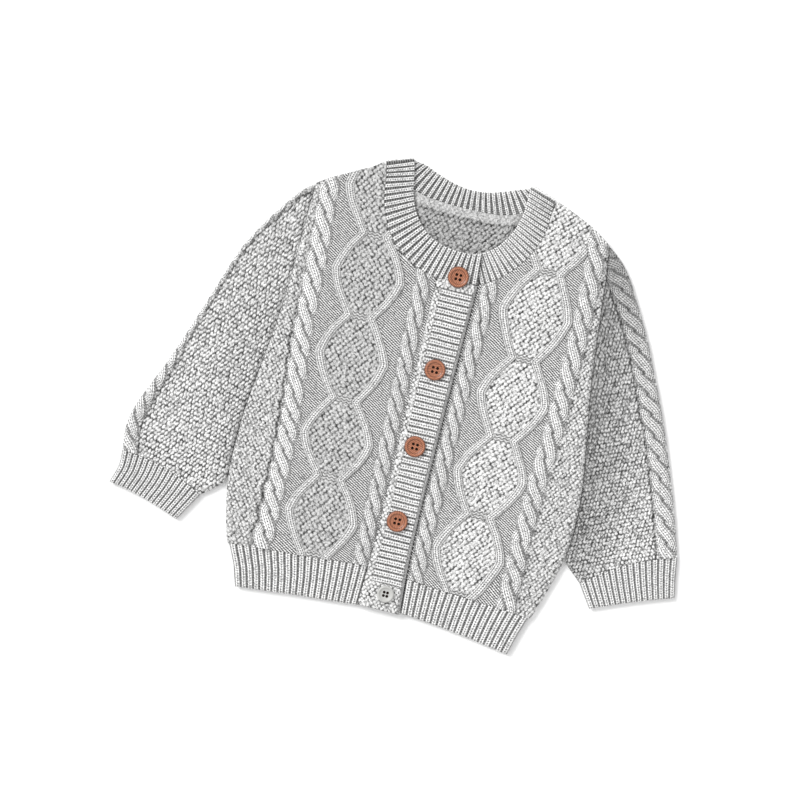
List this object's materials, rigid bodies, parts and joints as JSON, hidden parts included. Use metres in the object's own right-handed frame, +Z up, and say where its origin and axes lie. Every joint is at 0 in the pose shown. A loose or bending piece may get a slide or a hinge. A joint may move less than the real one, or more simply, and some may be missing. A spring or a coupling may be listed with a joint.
{
  "type": "baby cardigan",
  "caption": "Cable-knit baby cardigan with diamond lattice fronts, ribbed neckband, hem and cuffs, buttoned up and laid flat on its back.",
  "frame": {"origin": "on the surface it lies on, under the middle of the garment's outline", "axes": "+X towards the wearer's left sleeve, +Y towards the neck, +Z up out of the buttoned front"},
  "size_m": [0.4058, 0.3246, 0.0114],
  "materials": {
    "heather_knit": "soft matt heather yarn",
    "brown_button": "satin",
    "pale_button": "satin"
  },
  "bodies": {
    "root": {"back": "heather_knit", "back_hem": "heather_knit", "right_front": "heather_knit", "left_front": "heather_knit", "right_hem": "heather_knit", "left_hem": "heather_knit", "right_sleeve": "heather_knit", "left_sleeve": "heather_knit", "right_cuff": "heather_knit", "left_cuff": "heather_knit", "button_band": "heather_knit", "buttonhole_band": "heather_knit", "neckband": "heather_knit", "button_1": "brown_button", "button_2": "brown_button", "button_3": "brown_button", "button_4": "brown_button", "button_5": "pale_button"}
  },
  "joints": []
}
